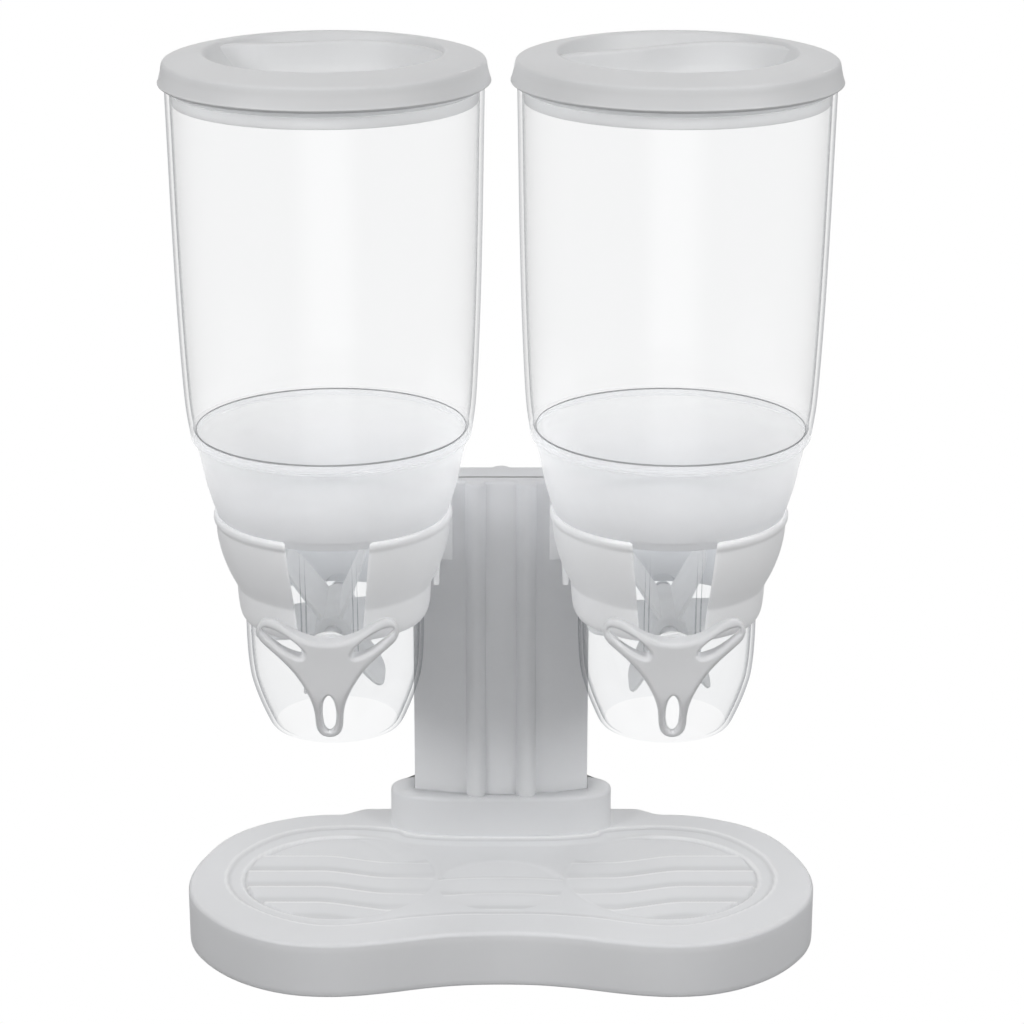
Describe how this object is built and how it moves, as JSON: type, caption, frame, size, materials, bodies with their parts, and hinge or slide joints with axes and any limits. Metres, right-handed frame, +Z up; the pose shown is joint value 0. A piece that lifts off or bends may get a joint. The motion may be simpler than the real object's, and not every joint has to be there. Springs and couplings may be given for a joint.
{
  "type": "cereal dispenser",
  "caption": "Twin dry-food dispenser: lidded clear canisters over paddle-wheel outlets turned by three-loop knobs, on a column with a waisted, rippled base.",
  "frame": {"origin": "middle of the base's underside rim, in the plane of the two canister axes, at table level", "axes": "+Z up, +Y from the knobs towards the column's back, +X towards the right canister seen from the front"},
  "size_m": [0.284, 0.1465, 0.3975],
  "materials": {
    "white_plastic": "satin moulded, very slightly cool white",
    "clear_plastic": "clear polished",
    "frosted_plastic": "milky translucent, fine satin",
    "soft_silicone": "soft translucent white silicone",
    "bearing_plastic": "natural acetal, satin",
    "foot_rubber": "grey grip rubber",
    "screw_steel": "zinc-plated pan-head screws"
  },
  "bodies": {
    "stand": {"base": "white_plastic", "column": "white_plastic", "left_holder": "white_plastic", "right_holder": "white_plastic", "base_feet": "foot_rubber", "column_screws": "screw_steel", "holder_screws": "screw_steel"},
    "left_container": {"left_canister": "clear_plastic", "left_funnel": "frosted_plastic", "left_chute": "clear_plastic", "left_axle_bush": "bearing_plastic"},
    "left_lid_set": {"left_lid": "white_plastic", "left_lid_seal": "soft_silicone"},
    "left_rotor": {"left_axle": "bearing_plastic", "left_paddle_wheel": "soft_silicone", "left_knob": "white_plastic"},
    "right_container": {"right_canister": "clear_plastic", "right_funnel": "frosted_plastic", "right_chute": "clear_plastic", "right_axle_bush": "bearing_plastic"},
    "right_lid_set": {"right_lid": "white_plastic", "right_lid_seal": "soft_silicone"},
    "right_rotor": {"right_axle": "bearing_plastic", "right_paddle_wheel": "soft_silicone", "right_knob": "white_plastic"}
  },
  "joints": [
    {"name": "left_container_lift", "type": "slide", "parent": "stand", "child": "left_container", "axis": [0, 0, 1], "range_m": [0, 0.12]},
    {"name": "left_lid_lift", "type": "slide", "parent": "left_container", "child": "left_lid_set", "axis": [0, 0, 1], "range_m": [0, 0.06]},
    {"name": "left_knob_turn", "type": "hinge", "parent": "left_container", "child": "left_rotor", "pos_m": [-0.073, 0, 0.1486], "axis": [0, -1, 0], "continuous": true},
    {"name": "right_container_lift", "type": "slide", "parent": "stand", "child": "right_container", "axis": [0, 0, 1], "range_m": [0, 0.12]},
    {"name": "right_lid_lift", "type": "slide", "parent": "right_container", "child": "right_lid_set", "axis": [0, 0, 1], "range_m": [0, 0.06]},
    {"name": "right_knob_turn", "type": "hinge", "parent": "right_container", "child": "right_rotor", "pos_m": [0.073, 0, 0.1486], "axis": [0, -1, 0], "continuous": true}
  ]
}
